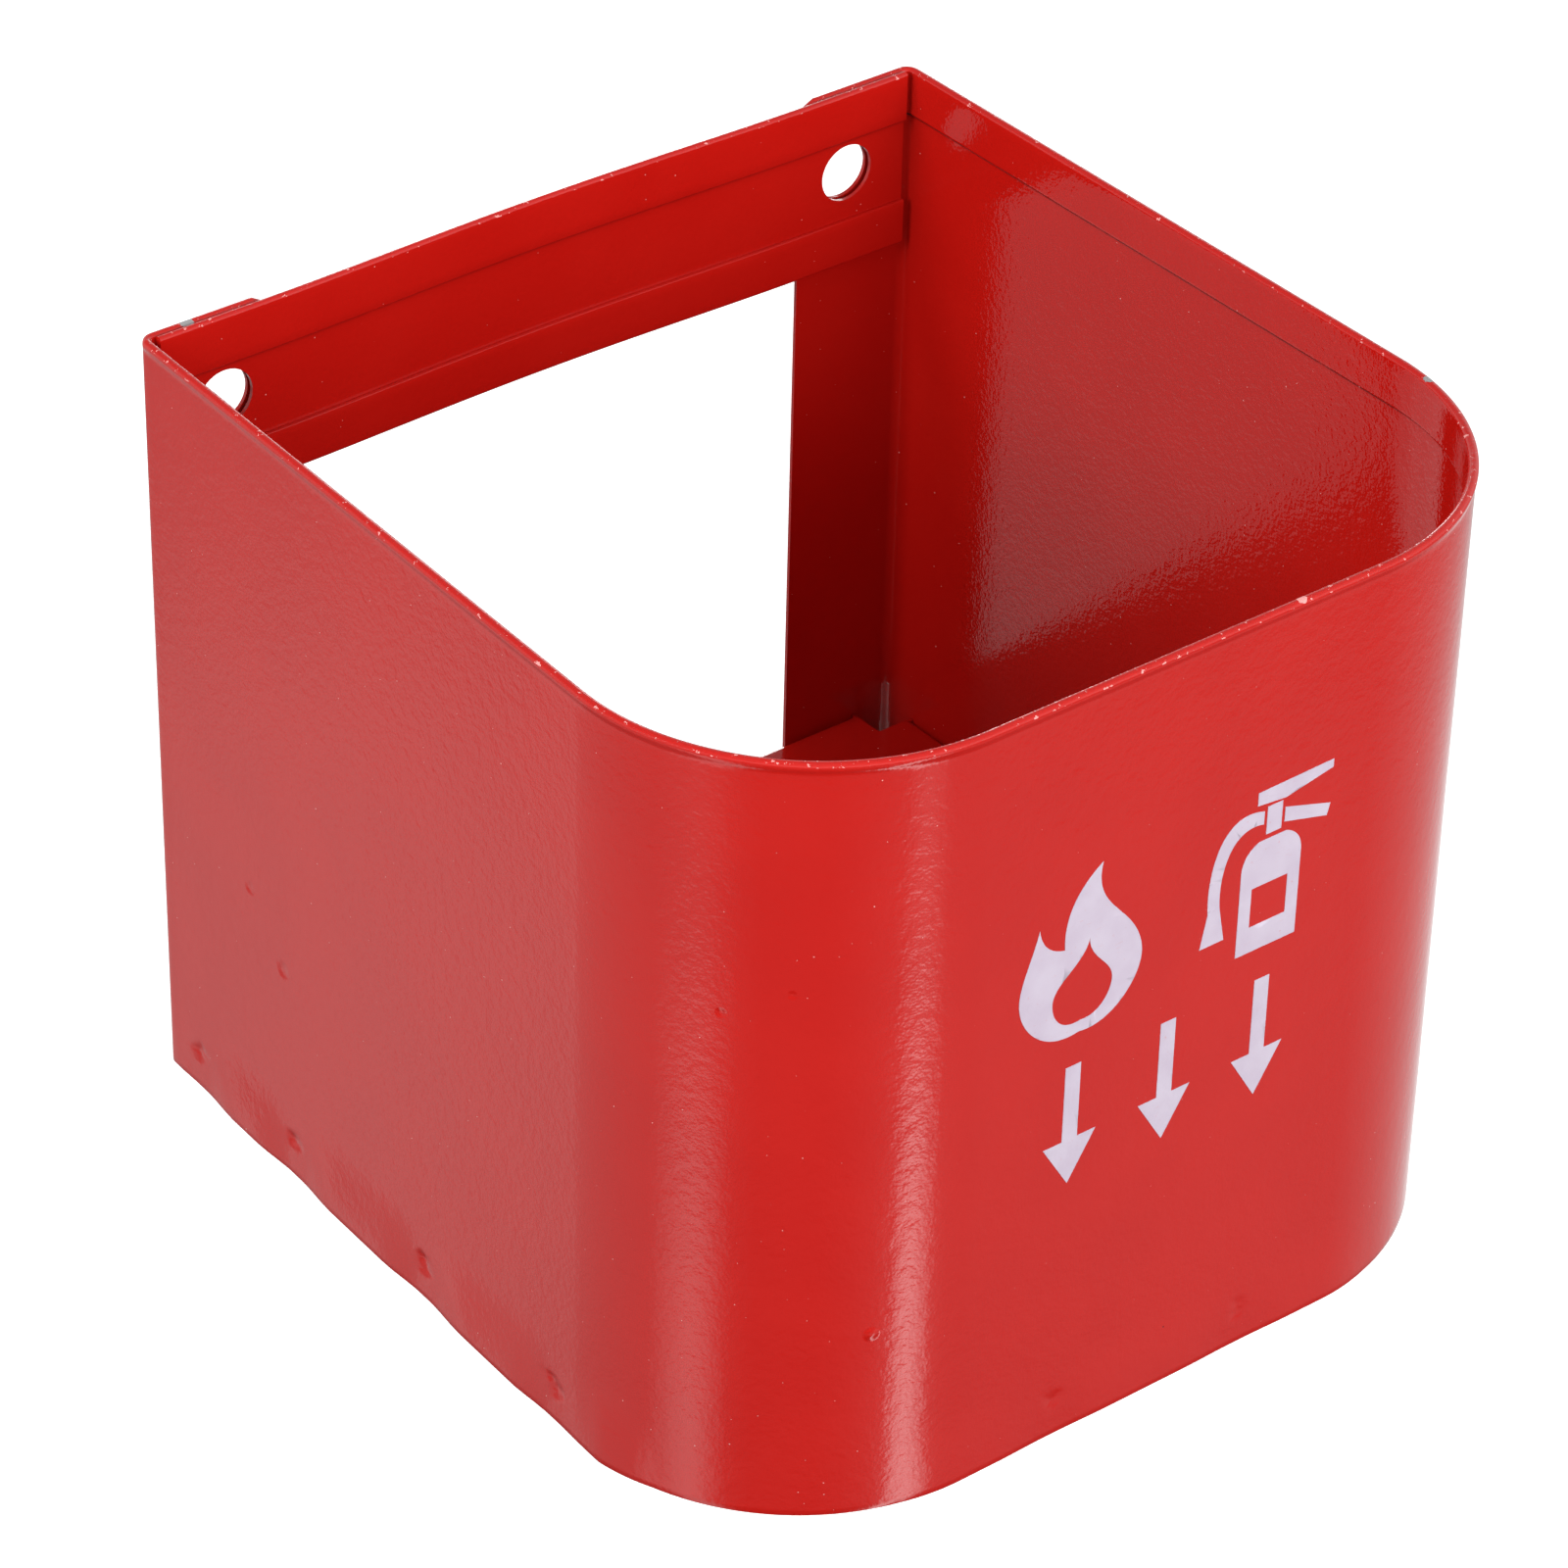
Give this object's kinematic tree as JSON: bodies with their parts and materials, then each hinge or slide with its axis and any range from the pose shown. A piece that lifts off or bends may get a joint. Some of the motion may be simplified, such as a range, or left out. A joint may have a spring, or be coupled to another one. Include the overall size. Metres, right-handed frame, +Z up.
{
  "type": "wall holder for a fire extinguisher",
  "caption": "Open-topped wall holder of red sheet steel: a wrap with large round front corners and a hemmed rim, a drilled back rail, a rear window and a raised floor tray.",
  "frame": {"origin": "under the middle of the plan, at the bottom edge of the wrap", "axes": "+Z up, +Y towards the wall that it hangs on, +X to the right for someone who faces the printed front"},
  "size_m": [0.1704, 0.1743, 0.15],
  "materials": {
    "red_powder_coat": "gloss",
    "weld_steel": "as welded",
    "white_ink": "screen printed"
  },
  "bodies": {
    "root": {"body_shell": "red_powder_coat", "back_rail": "red_powder_coat", "floor_tray": "red_powder_coat", "tray_spot_welds": "weld_steel", "rail_spot_welds": "weld_steel", "front_print": "white_ink"}
  },
  "joints": []
}
